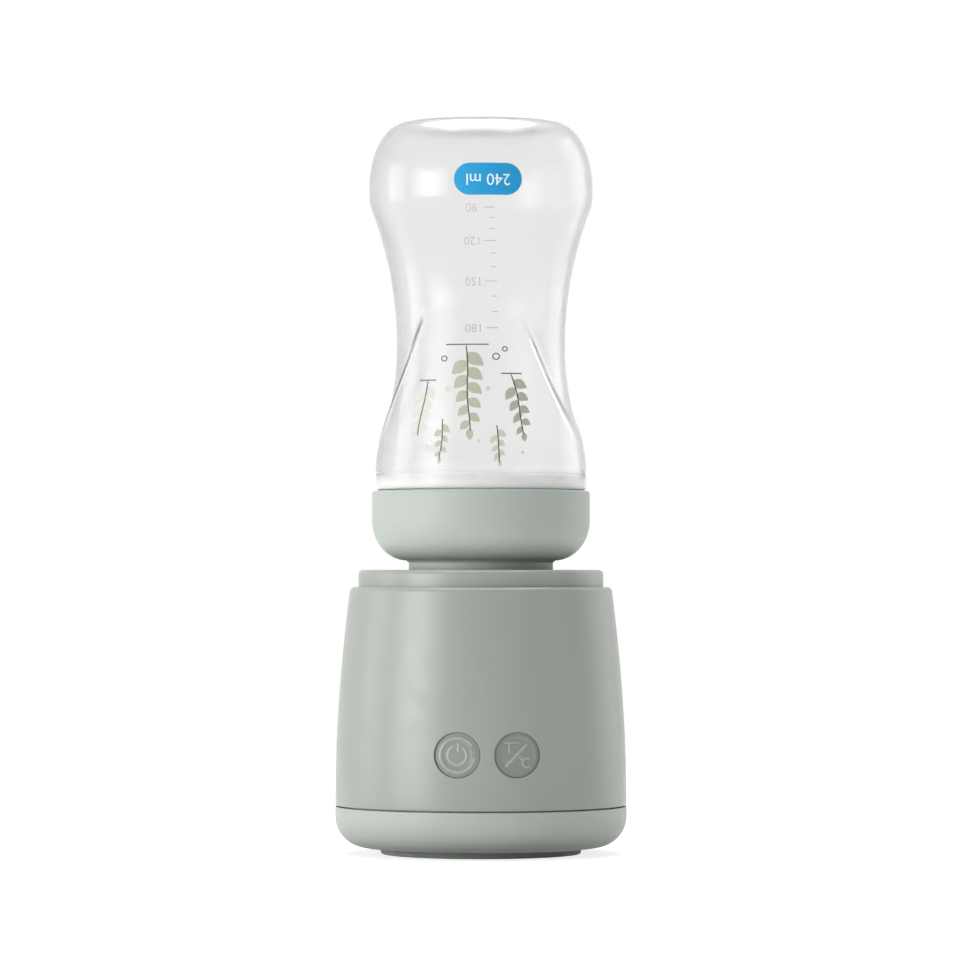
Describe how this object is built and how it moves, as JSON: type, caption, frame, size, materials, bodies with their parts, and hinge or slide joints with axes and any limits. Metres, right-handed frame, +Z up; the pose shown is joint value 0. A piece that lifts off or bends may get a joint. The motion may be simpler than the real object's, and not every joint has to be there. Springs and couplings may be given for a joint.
{
  "type": "baby bottle warmer",
  "caption": "Cordless round bottle warmer with push buttons, a screw-in adapter and a clear feeding bottle that stands upside down in it; adapter and bottle unscrew.",
  "frame": {"origin": "on the vertical axis of the base, at the underside of the foot ring", "axes": "+Z up along the axis, buttons facing -Y, +X to the right of someone facing the buttons"},
  "size_m": [0.0926, 0.0926, 0.232],
  "materials": {
    "shell_plastic": "satin grey-green moulding",
    "cup_plastic": "fine matte grey-green moulding",
    "button_plastic": "darker matte grey-green",
    "foot_rubber": "matte grey rubber",
    "steel": "stainless, lightly brushed",
    "silicone": "milky silicone",
    "heater": "printed heater on a ceramic disc",
    "insulation": "pressed mineral fibre",
    "black_plastic": "plain black moulding",
    "white_lead": "white insulation",
    "red_lead": "red insulation",
    "cells": "sleeved cells, with aluminium's density standing for the rolled electrodes",
    "board": "green solder mask",
    "light_plastic": "milky light guide",
    "bottle_plastic": "clear bottle plastic"
  },
  "bodies": {
    "warmer": {"body_shell": "shell_plastic", "base_cup": "cup_plastic", "foot_ring": "foot_rubber", "top_collar": "cup_plastic", "heating_pan": "steel", "pan_gasket": "silicone", "heater_disc": "heater", "insulation_disc": "insulation", "pan_clamp": "black_plastic", "clamp_screws": "steel", "collar_screws": "steel", "base_screws": "steel", "temperature_sensor": "black_plastic", "sensor_lead": "white_lead", "thermal_fuse": "insulation", "heater_leads": "red_lead", "battery_cells": "cells", "left_cell_holder": "black_plastic", "right_cell_holder": "black_plastic", "cell_links": "steel", "main_board": "board", "board_parts": "black_plastic", "board_screws": "steel", "usb_socket": "steel", "button_board": "board", "button_board_screws": "steel", "switch_housings": "black_plastic", "indicator_lights": "light_plastic", "board_ribbon": "white_lead"},
    "power_button": {"power_button": "cup_plastic", "light_ring": "light_plastic", "power_stem": "white_lead"},
    "temperature_button": {"temperature_button": "button_plastic", "temperature_stem": "white_lead"},
    "adapter_gasket": {"adapter_gasket": "silicone"},
    "adapter": {"adapter": "cup_plastic"},
    "mouth_seal": {"mouth_seal": "silicone"},
    "bottle": {"bottle": "bottle_plastic"}
  },
  "joints": [
    {"name": "power_press", "type": "slide", "parent": "warmer", "child": "power_button", "axis": [0, 1, 0], "range_m": [0, 0.0006], "stiffness_N_per_m": 1500},
    {"name": "temperature_press", "type": "slide", "parent": "warmer", "child": "temperature_button", "axis": [0, 1, 0], "range_m": [0, 0.0006], "stiffness_N_per_m": 1500},
    {"name": "adapter_lift", "type": "slide", "parent": "warmer", "child": "adapter_gasket", "axis": [0, 0, 1], "range_m": [0, 0.0124]},
    {"name": "adapter_turn", "type": "hinge", "parent": "adapter_gasket", "child": "adapter", "pos_m": [0, 0, 0.09], "axis": [0, 0, 1], "range_deg": [0, 540]},
    {"name": "bottle_lift", "type": "slide", "parent": "adapter", "child": "mouth_seal", "axis": [0, 0, 1], "range_m": [0, 0.0154]},
    {"name": "bottle_turn", "type": "hinge", "parent": "mouth_seal", "child": "bottle", "pos_m": [0, 0, 0.115], "axis": [0, 0, 1], "range_deg": [0, 540]}
  ],
  "couplings": [
    {"joint": "adapter_lift", "follows": "adapter_turn", "m_per_rad": 0.0012732},
    {"joint": "bottle_lift", "follows": "bottle_turn", "m_per_rad": 0.0015915}
  ]
}
